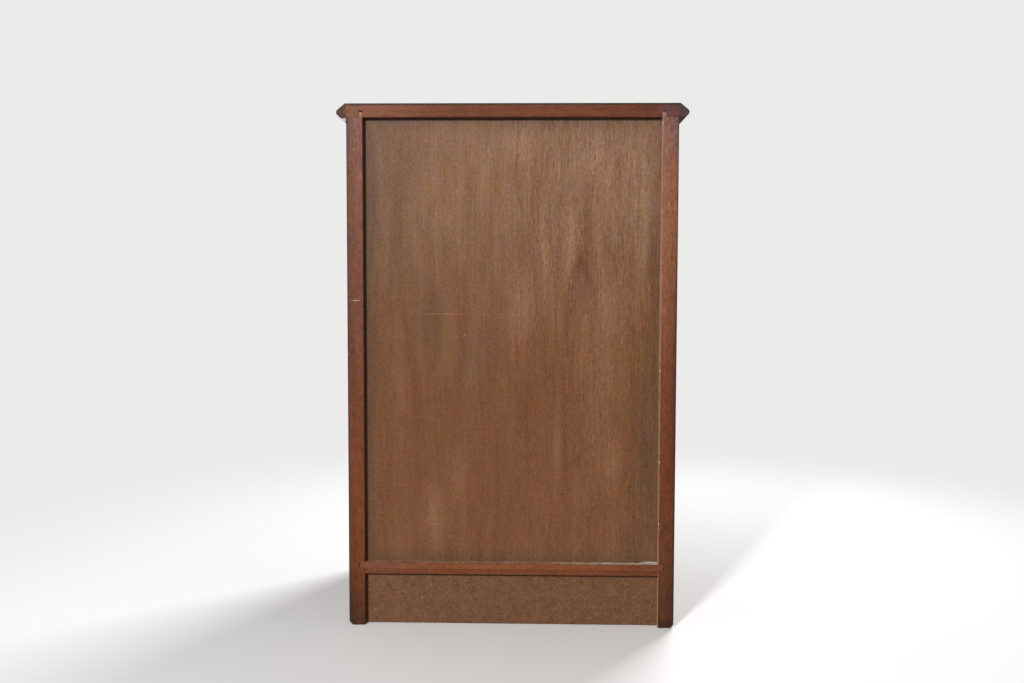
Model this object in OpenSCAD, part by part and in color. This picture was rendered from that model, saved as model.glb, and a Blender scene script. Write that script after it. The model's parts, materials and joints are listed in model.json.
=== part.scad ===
// Chest of drawers: a lipped top and bed moulding over a case with a framed back,
// and five inset drawers of rising height with a pair of bail pulls on each.
// X runs along the width, the drawers face -Y, the framed back faces +Y and Z is up from the floor.
// Left and right are those of someone who faces the drawers.

/* [Case] */
// Width over the outer faces of the sides
body_w = 570; // [520:5:760]
// Depth of the sides from front to back
body_d = 413; // [370:1:520]
// Height of the top surface above the floor
body_h = 910; // [840:5:1150]
// Thickness of the sides
side_t = 28; // [24:1:34]
// Chamfer along the outer bottom edge of each side
foot_chamfer = 6.5; // [2:0.5:9]
// Height of the clear space under the bottom board
plinth_h = 92; // [80:1:120]
// Thickness of the bottom board
bottom_t = 20; // [18:1:25]

/* [Top] */
// Thickness of the top and its lippings
top_t = 24; // [21:1:30]
// Reach of the moulded edge beyond the sides and the front
overhang = 17; // [15:0.5:24]
// Flat margin outside the case before the upper bevel starts
bevel_start = 1.8; // [1:0.2:4]
// Radius of the rounded nose between the two bevels
nose_r = 6.3; // [5:0.1:7]
// Height of the nose's centre above the underside of the top
nose_lift = 8.5; // [7.5:0.5:10]
// Legs of the triangular bed moulding under the overhang
bed_size = 10.5; // [8:0.5:11]
// Slant of the bed moulding's cut rear end, along the depth
bed_cut = 7; // [3:0.5:12]
// Width of the lipping along the back edge of the top
back_lip_w = 30; // [26:1:40]
// Thickness of the tongue on each side's upper end
tongue_t = 6.5; // [5:0.5:9]
// Height of that tongue
tongue_h = 9; // [8:0.5:11]

/* [Back] */
// Depth of the back panels' outer faces inside the rear edges of the sides
recess = 13; // [8:1:16]
// Thickness of the plywood back panel
panel_t = 4; // [3:0.5:6]
// Depth of the grooves that hold the back panels
panel_groove = 7; // [5:0.5:8]
// Thickness of the fibreboard panel below the bottom board
lower_panel_t = 5.5; // [4:0.5:8]
// Height of the fibreboard panel's lower edge above the floor
lower_panel_lift = 1; // [0.5:0.5:12]

/* [Front frame] */
// Thickness of the rails between the drawers
rail_t = 20; // [18:1:24]
// Depth of the rails from front to back
rail_d = 60; // [50:1:80]
// Depth of the housings for rails and bottom board in the sides
housing_d = 9; // [8:0.5:12]
// Thickness of the tongues in those housings
housing_t = 10; // [8:0.5:14]
// Distance that those tongues stop short of the front
housing_stop = 10; // [6:1:20]
// Width of the runner and kicker strips
runner_w = 25; // [20:1:35]
// Thickness of the plinth board
plinth_t = 18; // [15:1:24]
// Set-back of the plinth board behind the front edges of the sides
plinth_setback = 10; // [4:1:20]
// Height of the plinth board's lower edge above the floor
plinth_lift = 5; // [3:0.5:12]
// Width of the square glue blocks in the plinth's corners
block_w = 25; // [18:1:35]

/* [Drawers] */
// Extra height of each drawer over the one above it
height_step = 15.5; // [0:0.5:18]
// Thickness of the drawer fronts
front_t = 22; // [20:1:28]
// Distance that the drawer fronts stand out of the case
front_proud = 3; // [1:0.5:5]
// Bevel round the face of a drawer front
front_bevel = 3; // [1:0.5:4]
// Gap between a drawer front and the case all round
front_gap = 1.5; // [1:0.1:2.5]
// Thickness of the drawer sides
drawer_side_t = 12; // [10:0.5:15]
// Thickness of the drawer backs
drawer_back_t = 12; // [10:0.5:15]
// Thickness of the drawer bottoms
drawer_bottom_t = 5; // [4:0.5:8]
// Height of the drawer bottom above the lower edge of its sides
bottom_lift = 10; // [8:0.5:14]
// Depth of the grooves for the drawer bottom
bottom_groove = 5; // [4:0.5:7]
// Play between drawer sides and case on each side
side_play = 1; // [0.5:0.1:2]
// Running clearance under the drawer sides
run_gap = 0.3; // [0.2:0.05:0.4]
// Free height above the drawer sides
top_play = 3; // [2:0.5:6]
// Free depth between the drawers and the back panel
rear_play = 6; // [3:1:15]
// Distance of the drawer back from the rear ends of the drawer sides
back_inset = 8; // [5:0.5:15]
// Spacing that the dovetails are fitted to
tail_pitch = 34; // [26:1:45]
// Lap of the dovetails into the drawer front
tail_len = 14; // [10:0.5:16]
// Half-height of a dovetail's root as a share of the spacing
tail_share = 0.3; // [0.25:0.01:0.33]
// Rise of a dovetail's flank per unit of its length
tail_slope = 0.16; // [0.1:0.01:0.2]
// Height of the stops behind the drawer fronts
stop_h = 6; // [4:0.5:7]
// Length of each stop along the width
stop_w = 40; // [25:1:60]
// Depth of each stop
stop_d = 25; // [15:1:30]
// Distance of the stops from the middle of the chest
stop_x = 190; // [120:5:200]

/* [Pulls] */
// Distance between the middles of a drawer's two pulls
pull_spacing = 280; // [200:5:320]
// Distance between the two posts of a pull
post_spacing = 76; // [64:1:96]
// Height of the pins above the middle of the drawer front
pull_lift = 8; // [0:0.5:12]
// Radius of the rosettes
rosette_r = 14; // [11:0.5:16]
// Thickness of the rosettes
rosette_t = 2.5; // [2:0.1:3.5]
// Height of a rosette's rim
rim_t = 1; // [0.6:0.1:1.5]
// Width of the slope inside that rim
rim_slope_w = 3.5; // [2:0.5:5]
// Radius of the collar at the foot of a post's neck
collar_r = 6.2; // [4.8:0.1:8]
// Height of that collar
collar_t = 1.2; // [0.8:0.1:2]
// Radius of the post's neck
neck_r = 3.2; // [2.8:0.1:3.8]
// Distance of the pins from the drawer front
standoff = 15; // [14:0.5:20]
// Radius of the post's ball head
head_r = 4.6; // [4.2:0.1:6]
// Radius of the bail's pins
pin_r = 2; // [1.6:0.1:2.3]
// Length of a pin beyond its ball head
pin_tip = 1; // [0.5:0.1:2]
// Running clearance round a pin
pin_clearance = 0.08; // [0.02:0.01:0.1]
// Free play between a ball head and the bail
bail_play = 1.9; // [1.3:0.1:3]
// Radius of the bail's rod
bail_r = 2.5; // [2:0.1:3]
// Radius of the knuckles at the ends of the bail
knuckle_r = 3; // [2.8:0.1:3.6]
// Drop of the bail's middle below its pins
bail_drop = 30; // [26:1:32]
// Radius of the threaded studs through the drawer front
stud_r = 2.5; // [2:0.1:3]
// Clearance round a stud in its hole
stud_clearance = 0.2; // [0.1:0.05:0.5]
// Radius of the washers inside the drawer
washer_r = 6; // [5:0.5:8]
// Thickness of those washers
washer_t = 1; // [0.8:0.1:1.5]
// Length of a stud beyond its nut
stud_tail = 1; // [0.5:0.5:3]
// Radius of the nuts over their corners
nut_r = 4.6; // [4.2:0.1:5]
// Thickness of the nuts
nut_t = 3.5; // [3:0.1:5]

/* [Hidden] */
$fn = 48;
drawer_count = 5;
case_pieces = [
    "left_side", "right_side", "top_panel", "top_back_lipping", "top_left_lipping", "top_right_lipping",
    "top_front_lipping", "left_bed_moulding", "right_bed_moulding", "front_bed_moulding", "back_panel",
    "lower_back_panel", "bottom_board", "plinth_board", "plinth_blocks", "top_rail", "drawer_rail_1",
    "drawer_rail_2", "drawer_rail_3", "drawer_rail_4", "top_kickers", "drawer_runners", "drawer_stops"];
drawer_pieces = ["front", "sides", "back", "bottom", "pull_posts", "left_bail", "right_bail"];
function drawer_name(n, piece) = str("drawer_", n, "_", piece);

hardwood = "#744631";
end_grain = "#634d44";
back_ply = "#7d5940";
fibreboard = "#704f3a";
whitewood = "#c8a678";
drawer_ply = "#bd9a6c";
brass = "#80693f";

// Main planes of the case
half_w = body_w / 2;
inner_x = half_w - side_t;
top_z = body_h - top_t;
floor_z = plinth_h + bottom_t;
reach = max(overhang, front_proud + standoff + head_r);
y_back = (body_d + reach) / 2;
y_front = y_back - body_d;
panel_y = y_back - recess - panel_t;
// Overlength of every cutting solid beyond the wood it cuts
over = 1;

// Outline of the moulded edge: u outwards from the case, v up from the top surface
nose_u = overhang - nose_r;
nose_v = nose_lift - top_t;
bevel_reach = norm([nose_u - bevel_start, nose_v]);
bevel_normal = 90 + atan2(nose_v, nose_u - bevel_start) + asin(nose_r / bevel_reach);
under_w = nose_u + nose_r * sqrt(2) - nose_lift;
nose_steps = 6;
nose_angles = concat(
    [for (i = [0 : nose_steps - 1]) bevel_normal * (1 - i / nose_steps)],
    [for (i = [0 : nose_steps]) -45 * i / nose_steps]);
nose_arc = [for (a = nose_angles) [nose_u + nose_r * cos(a), nose_v + nose_r * sin(a)]];
lipping_outline = concat([[0, 0], [bevel_start, 0]], nose_arc, [[under_w, -top_t], [0, -top_t]]);
bed_outline = [[0, 0], [bed_size, 0], [0, -bed_size]];

// Openings between the rails, counted from the top
opening_mean = (top_z - floor_z - drawer_count * rail_t) / drawer_count;
function opening_h(n) = opening_mean + height_step * (n - (drawer_count + 1) / 2);
function opening_top(n) =
    top_z - rail_t - (n - 1) * (rail_t + opening_mean + height_step * (n - drawer_count - 1) / 2);
function opening_base(n) = opening_top(n) - opening_h(n);

// Drawer boxes
front_w = 2 * (inner_x - front_gap);
face_y = y_front - front_proud;
front_back_y = face_y + front_t;
box_half = inner_x - side_play;
box_inner = box_half - drawer_side_t;
box_rear_y = panel_y - rear_play;
back_y = box_rear_y - back_inset - drawer_back_t;
function box_base(n) = opening_base(n) + run_gap;
function box_h(n) = opening_h(n) - run_gap - top_play;
function tails(n) = max(2, round(box_h(n) / tail_pitch));

// Pulls
function pin_z(n) = opening_base(n) + opening_h(n) / 2 + pull_lift;
post_half = post_spacing / 2;
bail_half = post_half + head_r + bail_play + bail_r;
bail_arc_r = (pow(bail_half, 2) + pow(bail_drop, 2)) / (2 * bail_drop);
bail_arc_half = asin(bail_half / bail_arc_r);
stud_end = front_t + washer_t + nut_t + stud_tail;

// Carries an outline with u along +X and v along +Z backwards from the front to a length
module run_along_depth(length) {
    rotate([90, 0, 0]) linear_extrude(length) children();
}

// Carries an outline with u along -Y and v along +Z along the width
module run_along_width(length) {
    rotate([90, 0, -90]) linear_extrude(length) children();
}

module both_hands() {
    children();
    mirror([1, 0, 0]) children();
}

// Case sides: barefaced tongue on top, housings for the boards and grooves for the back panels
module right_side_board() {
    difference() {
        translate([0, y_back, 0]) run_along_depth(body_d) polygon([
            [inner_x, 0], [half_w - foot_chamfer, 0], [half_w, foot_chamfer],
            [half_w, top_z], [inner_x + tongue_t, top_z],
            [inner_x + tongue_t, top_z + tongue_h], [inner_x, top_z + tongue_h]]);
        side_housing(floor_z - housing_t, body_d + over);
        for (n = [1 : drawer_count]) side_housing(rail_tongue_z(opening_top(n)), rail_d);
        translate([inner_x - over, panel_y, floor_z - panel_groove])
            cube([panel_groove + over, panel_t, top_z - floor_z + panel_groove + tongue_h + over]);
        translate([inner_x - over, y_back - recess - lower_panel_t, lower_panel_lift])
            cube([panel_groove + over, lower_panel_t, plinth_h - lower_panel_lift]);
    }
}

function rail_tongue_z(rail_base) = rail_base + (rail_t - housing_t) / 2;

module side_housing(z, rear) {
    translate([inner_x - over, y_front + housing_stop, z])
        cube([housing_d + over, rear - housing_stop, housing_t]);
}

module right_side() {
    color(hardwood) right_side_board();
}

module left_side() {
    color(hardwood) mirror([1, 0, 0]) right_side_board();
}

// Top: a core board with a lipping on each edge, grooved underneath for the sides and the back panel
module tongue_grooves() {
    both_hands() translate([inner_x, y_front, top_z - over]) cube([tongue_t, body_d + over, tongue_h + over]);
}

module top_panel() {
    color(hardwood) difference() {
        translate([-half_w, y_front, top_z]) cube([body_w, body_d - back_lip_w, top_t]);
        tongue_grooves();
    }
}

module top_back_lipping() {
    color(hardwood) difference() {
        translate([-half_w, y_back - back_lip_w, top_z]) cube([body_w, back_lip_w, top_t]);
        tongue_grooves();
        translate([-inner_x - panel_groove, panel_y, top_z - over])
            cube([2 * (inner_x + panel_groove), panel_t, panel_groove + over]);
    }
}

// Everything inside the mitre that the edge runs meet in at the right front corner
module inside_mitre() {
    far = overhang + over;
    translate([0, 0, top_z - bed_size - over]) linear_extrude(top_t + bed_size + 2 * over) polygon([
        [half_w - over, y_front], [half_w, y_front],
        [half_w + far, y_front - far], [half_w - over, y_front - far]]);
}

// Everything outside that mitre
module outside_mitre() {
    far = overhang + over;
    translate([0, 0, top_z - bed_size - over]) linear_extrude(top_t + bed_size + 2 * over) polygon([
        [half_w, y_front + over], [half_w, y_front],
        [half_w + far, y_front - far], [half_w + far, y_front + over]]);
}

module right_edge_run(z) {
    difference() {
        translate([half_w, y_back, z]) run_along_depth(body_d + overhang) children();
        inside_mitre();
    }
}

module front_edge_run(z) {
    difference() {
        translate([half_w + overhang, y_front, z]) run_along_width(body_w + 2 * overhang) children();
        both_hands() outside_mitre();
    }
}

module top_right_lipping() {
    color(end_grain) right_edge_run(body_h) polygon(lipping_outline);
}

module top_left_lipping() {
    color(end_grain) mirror([1, 0, 0]) right_edge_run(body_h) polygon(lipping_outline);
}

module top_front_lipping() {
    color(hardwood) front_edge_run(body_h) polygon(lipping_outline);
}

// Bed moulding: its rear ends are cut on a slant that faces outwards
module right_bed_run() {
    slant = bed_cut / bed_size;
    far = bed_size + over;
    difference() {
        right_edge_run(top_z) polygon(bed_outline);
        translate([half_w, y_back, top_z - bed_size - over]) linear_extrude(bed_size + 2 * over)
            polygon([[-over, slant * over], [far, -slant * far], [far, over], [-over, over + slant * over]]);
    }
}

module right_bed_moulding() {
    color(hardwood) right_bed_run();
}

module left_bed_moulding() {
    color(hardwood) mirror([1, 0, 0]) right_bed_run();
}

module front_bed_moulding() {
    color(hardwood) front_edge_run(top_z) polygon(bed_outline);
}

// Back: plywood above the bottom board and fibreboard below it, both let into grooves
module back_panel() {
    color(back_ply) translate([-inner_x - panel_groove, panel_y, floor_z - panel_groove])
        cube([2 * (inner_x + panel_groove), panel_t, top_z - floor_z + 2 * panel_groove]);
}

module lower_back_panel() {
    color(fibreboard) translate([-inner_x - panel_groove, y_back - recess - lower_panel_t, lower_panel_lift])
        cube([2 * (inner_x + panel_groove), lower_panel_t, plinth_h - lower_panel_lift]);
}

// Bottom board: its tongues show at the rear edges of the sides
module bottom_board() {
    color(hardwood) difference() {
        union() {
            translate([-inner_x, y_front, plinth_h]) cube([2 * inner_x, body_d, bottom_t]);
            translate([-inner_x - housing_d, y_front + housing_stop, floor_z - housing_t])
                cube([2 * (inner_x + housing_d), body_d - housing_stop, housing_t]);
        }
        translate([-inner_x - panel_groove, panel_y, floor_z - panel_groove])
            cube([2 * (inner_x + panel_groove), panel_t, panel_groove + over]);
    }
}

// Plinth: a board under the front and a glue block in each corner
module plinth_board() {
    color(hardwood) translate([-inner_x, y_front + plinth_setback, plinth_lift])
        cube([2 * inner_x, plinth_t, plinth_h - plinth_lift]);
}

module plinth_blocks() {
    block_base = max(plinth_lift, lower_panel_lift);
    color(whitewood) both_hands()
        for (y = [y_front + plinth_setback + plinth_t, y_back - recess - lower_panel_t - block_w])
            translate([inner_x - block_w, y, block_base]) cube([block_w, block_w, plinth_h - block_base]);
}

// Rails across the front, each with a tongue in both sides
module rail(base) {
    color(hardwood) union() {
        translate([-inner_x, y_front, base]) cube([2 * inner_x, rail_d, rail_t]);
        translate([-inner_x - housing_d, y_front + housing_stop, rail_tongue_z(base)])
            cube([2 * (inner_x + housing_d), rail_d - housing_stop, housing_t]);
    }
}

module top_rail() {
    rail(opening_top(1));
}

module drawer_rail(n) {
    rail(opening_top(n + 1));
}

// Strips along the sides behind the rails: they carry the drawer above and keep the one below from tipping
module strip_pair(base) {
    both_hands() translate([inner_x - runner_w, y_front + rail_d, base])
        cube([runner_w, panel_y - y_front - rail_d, rail_t]);
}

module top_kickers() {
    color(whitewood) strip_pair(opening_top(1));
}

module drawer_runners() {
    color(whitewood) for (n = [2 : drawer_count]) strip_pair(opening_top(n));
}

module drawer_stops() {
    color(whitewood) both_hands() for (n = [1 : drawer_count])
        translate([stop_x - stop_w / 2, front_back_y, opening_base(n)]) cube([stop_w, stop_d, stop_h]);
}

// Drawer front: bevelled face, blind sockets for the dovetails, groove for the bottom and holes for the studs
module drawer_front(n) {
    base = opening_base(n) + front_gap;
    height = opening_h(n) - 2 * front_gap;
    color(hardwood) difference() {
        intersection() {
            translate([0, 0, base]) linear_extrude(height) polygon([
                [-front_w / 2, front_back_y], [-front_w / 2, face_y + front_bevel],
                [front_bevel - front_w / 2, face_y], [front_w / 2 - front_bevel, face_y],
                [front_w / 2, face_y + front_bevel], [front_w / 2, front_back_y]]);
            translate([front_w / 2, 0, base]) run_along_width(front_w) polygon([
                [-front_back_y, 0], [-face_y - front_bevel, 0], [-face_y, front_bevel],
                [-face_y, height - front_bevel], [-face_y - front_bevel, height], [-front_back_y, height]]);
        }
        both_hands() drawer_tails(n, over);
        translate([-box_inner - bottom_groove, front_back_y - bottom_groove, box_base(n) + bottom_lift])
            cube([2 * (box_inner + bottom_groove), bottom_groove + over, drawer_bottom_t]);
        at_posts(n) rotate([90, 0, 0])
            cylinder(r = stud_r + stud_clearance, h = 3 * front_t, center = true);
    }
}

// Dovetails on the front end of the right drawer side, with some length behind the shoulder
module drawer_tails(n, behind) {
    pitch = box_h(n) / tails(n);
    root = tail_share * pitch;
    tip = root + tail_slope * tail_len;
    for (i = [0 : tails(n) - 1])
        translate([box_half, front_back_y, box_base(n) + (i + 0.5) * pitch])
            run_along_width(drawer_side_t) polygon([
                [tail_len, -tip], [tail_len, tip], [0, root], [-behind, root], [-behind, -root], [0, -root]]);
}

module drawer_side(n) {
    difference() {
        union() {
            translate([box_inner, front_back_y, box_base(n)])
                cube([drawer_side_t, box_rear_y - front_back_y, box_h(n)]);
            drawer_tails(n, over);
        }
        translate([box_inner - over, front_back_y - bottom_groove, box_base(n) + bottom_lift])
            cube([bottom_groove + over, box_rear_y - front_back_y + bottom_groove + over, drawer_bottom_t]);
        translate([box_inner - over, back_y, box_base(n) + bottom_lift + drawer_bottom_t])
            cube([bottom_groove + over, drawer_back_t, box_h(n)]);
    }
}

module drawer_sides(n) {
    color(whitewood) both_hands() drawer_side(n);
}

module drawer_back(n) {
    rise = bottom_lift + drawer_bottom_t;
    color(whitewood) translate([-box_inner - bottom_groove, back_y, box_base(n) + rise])
        cube([2 * (box_inner + bottom_groove), drawer_back_t, box_h(n) - rise]);
}

module drawer_bottom(n) {
    start_y = front_back_y - bottom_groove;
    color(drawer_ply) translate([-box_inner - bottom_groove, start_y, box_base(n) + bottom_lift])
        cube([2 * (box_inner + bottom_groove), back_y + drawer_back_t - start_y, drawer_bottom_t]);
}

// Pulls: posts with a rosette, a ball head, a stud through the drawer front, a washer and a nut
module at_pull(n, hand) {
    translate([hand * pull_spacing / 2, face_y, pin_z(n)]) children();
}

module at_posts(n) {
    for (hand = [-1, 1]) for (post = [-1, 1]) at_pull(n, hand) translate([post * post_half, 0, 0]) children();
}

module post() {
    rotate([90, 0, 0]) difference() {
        union() {
            rotate_extrude() polygon([
                [0, -stud_end], [stud_r, -stud_end], [stud_r, -front_t - washer_t],
                [washer_r, -front_t - washer_t], [washer_r, -front_t], [stud_r, -front_t],
                [stud_r, 0], [rosette_r, 0], [rosette_r, rim_t],
                [rosette_r - rim_slope_w, rosette_t], [collar_r, rosette_t], [collar_r, rosette_t + collar_t],
                [neck_r, rosette_t + 2 * collar_t], [neck_r, standoff], [0, standoff]]);
            translate([0, 0, standoff]) sphere(head_r);
            translate([0, 0, -front_t - washer_t - nut_t]) cylinder(r = nut_r, h = nut_t, $fn = 6);
        }
        translate([0, 0, standoff]) rotate([0, 90, 0])
            cylinder(r = pin_r + pin_clearance, h = 4 * head_r, center = true);
    }
}

module drawer_pull_posts(n) {
    color(brass) at_posts(n) post();
}

// Bail: an arc of rod whose ends turn inwards as pins through the ball heads
module bail() {
    pin_start = post_half - head_r - pin_tip;
    translate([0, -standoff, 0]) union() {
        translate([0, 0, bail_arc_r - bail_drop]) rotate([90, 0, 0]) rotate([0, 0, -90 - bail_arc_half])
            rotate_extrude(angle = 2 * bail_arc_half) translate([bail_arc_r, 0]) circle(bail_r);
        both_hands() {
            translate([bail_half, 0, 0]) sphere(knuckle_r);
            translate([pin_start, 0, 0]) rotate([0, 90, 0]) cylinder(r = pin_r, h = bail_half - pin_start);
        }
    }
}

module drawer_bail(n, hand) {
    color(brass) at_pull(n, hand) bail();
}

left_side();
right_side();
top_panel();
top_back_lipping();
top_left_lipping();
top_right_lipping();
top_front_lipping();
left_bed_moulding();
right_bed_moulding();
front_bed_moulding();
back_panel();
lower_back_panel();
bottom_board();
plinth_board();
plinth_blocks();
top_rail();
drawer_rail(1);  // drawer_rail_1
drawer_rail(2);  // drawer_rail_2
drawer_rail(3);  // drawer_rail_3
drawer_rail(4);  // drawer_rail_4
top_kickers();
drawer_runners();
drawer_stops();
for (n = [1 : drawer_count]) {
    drawer_front(n);
    drawer_sides(n);
    drawer_back(n);
    drawer_bottom(n);
    drawer_pull_posts(n);
    drawer_bail(n, -1);
    drawer_bail(n, 1);
}
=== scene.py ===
"""Chest of drawers: the finish of its boards, mouldings, panels and pulls, on a pale floor in soft light.

X runs along the width, the drawers face -Y, the framed back faces +Y and Z is up. Blender's lengths are
in metres, and values that end in _mm are in millimetres. Left and right are those of someone who faces
the drawers.
"""
import json
import math
from functools import partial

import bmesh
import bpy
import numpy as np
from mathutils import Matrix, Vector

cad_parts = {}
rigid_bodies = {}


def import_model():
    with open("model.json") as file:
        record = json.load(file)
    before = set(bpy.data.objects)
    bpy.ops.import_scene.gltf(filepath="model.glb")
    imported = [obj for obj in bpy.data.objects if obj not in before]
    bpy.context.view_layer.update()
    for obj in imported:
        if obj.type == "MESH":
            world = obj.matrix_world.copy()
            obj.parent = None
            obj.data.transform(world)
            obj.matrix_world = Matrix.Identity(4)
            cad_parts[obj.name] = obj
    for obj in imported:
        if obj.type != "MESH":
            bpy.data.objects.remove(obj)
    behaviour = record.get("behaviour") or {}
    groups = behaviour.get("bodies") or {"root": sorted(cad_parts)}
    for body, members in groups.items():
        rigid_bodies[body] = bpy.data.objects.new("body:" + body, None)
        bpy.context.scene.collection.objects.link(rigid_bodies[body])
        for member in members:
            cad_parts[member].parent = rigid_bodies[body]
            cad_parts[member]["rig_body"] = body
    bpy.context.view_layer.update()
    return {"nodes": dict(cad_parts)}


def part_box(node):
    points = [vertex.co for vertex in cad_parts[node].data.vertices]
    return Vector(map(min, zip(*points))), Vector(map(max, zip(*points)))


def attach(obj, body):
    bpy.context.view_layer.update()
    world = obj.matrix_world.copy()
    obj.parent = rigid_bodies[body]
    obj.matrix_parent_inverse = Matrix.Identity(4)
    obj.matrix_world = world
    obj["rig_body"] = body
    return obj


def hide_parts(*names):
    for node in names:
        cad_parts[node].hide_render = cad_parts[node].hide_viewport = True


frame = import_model()
MM = 0.001
TURN = 2 * math.pi

# Planes of the case, read from the frame
side_low, side_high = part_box("right_side")
core_low, core_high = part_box("top_panel")
front_low, front_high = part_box("drawer_1_front")
inner_x, half_w = side_low.x, side_high.x
y_front, y_back = side_low.y, side_high.y
top_z, body_h = core_low.z, core_high.z
face_y, front_back_y = front_low.y, front_high.y
panel_rear, ledge_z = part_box("back_panel")[1].y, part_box("bottom_board")[1].z
drawers = range(1, 6)
hands = {"left": -1, "right": 1}


# Shaders

def linear(code):
    """Turns an sRGB hex colour into the linear RGBA that shaders take."""
    parts = [int(code[i:i + 2], 16) / 255 for i in (1, 3, 5)]
    return [c / 12.92 if c <= 0.04045 else ((c + 0.055) / 1.055) ** 2.4 for c in parts] + [1.0]


def add(tree, kind, *inputs, stops=(), **named):
    """Adds a shader node with its settings and links, and returns it.

    The inputs fill its sockets in order. A keyword with a capital letter is a socket, with _ for a blank,
    and any other is a setting. An input is a number, a vector, a hex colour, a node or a socket. A stop of
    a colour ramp is a place from 0 to 1 and a hex colour.
    """
    made = tree.nodes.new("ShaderNode" + kind)
    for name, value in named.items():
        if name[0].islower():
            setattr(made, name, value)
    pairs = list(zip([s for s in made.inputs if s.enabled], inputs))
    pairs += [(made.inputs[name.replace("_", " ")], v) for name, v in named.items() if name[0].isupper()]
    for socket, value in pairs:
        if isinstance(value, bpy.types.Node):
            value = next(s for s in value.outputs if s.enabled)
        if isinstance(value, bpy.types.NodeSocket):
            tree.links.new(value, socket)
        else:
            socket.default_value = linear(value) if isinstance(value, str) else value
    for i, (place, colour) in enumerate(stops):
        element = made.color_ramp.elements[i] if i < 2 else made.color_ramp.elements.new(place)
        element.position, element.color = place, linear(colour)
    return made


def new_material(name):
    """An empty material, and the function that adds nodes to it."""
    made = bpy.data.materials.new(name)
    made.use_nodes = True
    made.node_tree.nodes.clear()
    return made, partial(add, made.node_tree)


def streaks(put, place, across_mm, along_mm, detail=2.0, shift=0.0):
    """Noise in cells across_mm wide and along_mm long, the long way along the third axis of place."""
    cells_per_mm = (1 / across_mm, 1 / across_mm, 1 / along_mm)
    cell = put("Mapping", place, Scale=cells_per_mm, Location=(shift, 3 * shift, shift))
    return put("TexNoise", cell, Scale=1.0, Detail=detail, Roughness=0.55)


# How a board's log lies, as turns about X, Y and Z, and the way that it points
LIE = {"X": (0, math.pi / 2, 0), "Y": (-math.pi / 2, 0, 0), "Z": (0, 0, 0)}
AXES = {"X": (1, 0, 0), "Y": (0, 1, 0), "Z": (0, 0, 1)}


def log_space(put, along, pith, lean=0.0):
    """Places in a board in millimetres from the pith of its log, whose length is the third axis."""
    here = put("TexCoord").outputs["Object"]
    turn = Vector(LIE[along]) + Vector((lean, lean, 0) if along == "Z" else (0, lean, 0))
    return put("Mapping", here, vector_type="TEXTURE", Location=pith, Rotation=turn, Scale=(MM,) * 3)


def weighed(put, value, noises):
    """Adds noises to a value, each less its mean of 0.5 and times its share."""
    for noise, share in noises:
        swing = put("Math", noise, 0.5, operation="SUBTRACT")
        value = put("Math", swing, share, value, operation="MULTIPLY_ADD")
    return value


def tinted(put, colour, value):
    """Makes a colour darker or lighter by a share, as stain that lies thicker or thinner does."""
    # The share is least in red and most in blue
    shade = put("VectorMath", value, (0.74, 1.0, 1.27), (1, 1, 1), operation="MULTIPLY_ADD")
    return put("Mix", 1.0, colour, shade, data_type="RGBA", blend_type="MULTIPLY")


def hued(put, colour, noise, strength):
    """Turns a colour a little redder, yellower or bluer from place to place, by three noises in one."""
    turn = put("VectorMath", noise.outputs["Color"], (0.5, 0.5, 0.5), operation="SUBTRACT")
    turn = put("VectorMath", turn, strength, (1, 1, 1), operation="MULTIPLY_ADD")
    return put("Mix", 1.0, colour, turn, data_type="RGBA", blend_type="MULTIPLY")


def coat(put, height, strength, depth_mm, **sockets):
    """Ends a material with a surface, whose bumps are depth_mm deep for a height of 1, times a strength."""
    bump = put("Bump", Strength=strength, Distance=depth_mm * MM, Height=height)
    put("OutputMaterial", put("BsdfPrincipled", Normal=bump, **sockets))


# Kinds of marks: the share of its reach over which a mark is full, and how much fine noise breaks it up
MARKS = {"soft": (0.0, 0.0), "cut": (0.7, 0.0), "worn": (0.3, 0.5), "chip": (0.5, 1.0)}


def marks_on(put, colour, marks):
    """Lays marks on a colour: each has a centre and a reach in mm, a colour, a strength and a kind."""
    grit_mm = 1.6
    here = put("TexCoord").outputs["Object"]
    grit = put("TexNoise", here, Scale=1 / (grit_mm * MM), Detail=2.0)
    for centre, reach, shade, strength, kind in marks:
        full, broken = MARKS[kind]
        inside = put("Mapping", here, vector_type="TEXTURE", Location=[c * MM for c in centre],
                     Scale=[r * MM for r in reach])
        far = put("VectorMath", inside, operation="LENGTH").outputs["Value"]
        share = put("MapRange", far, 1.0, full, 0.0, strength, interpolation_type="SMOOTHSTEP")
        whole = put("MapRange", grit, 0.42, 0.56, 1.0 - broken, 1.0)
        share = put("Math", share, whole, operation="MULTIPLY")
        colour = put("Mix", share, colour, shade, data_type="RGBA")
    return colour


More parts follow.
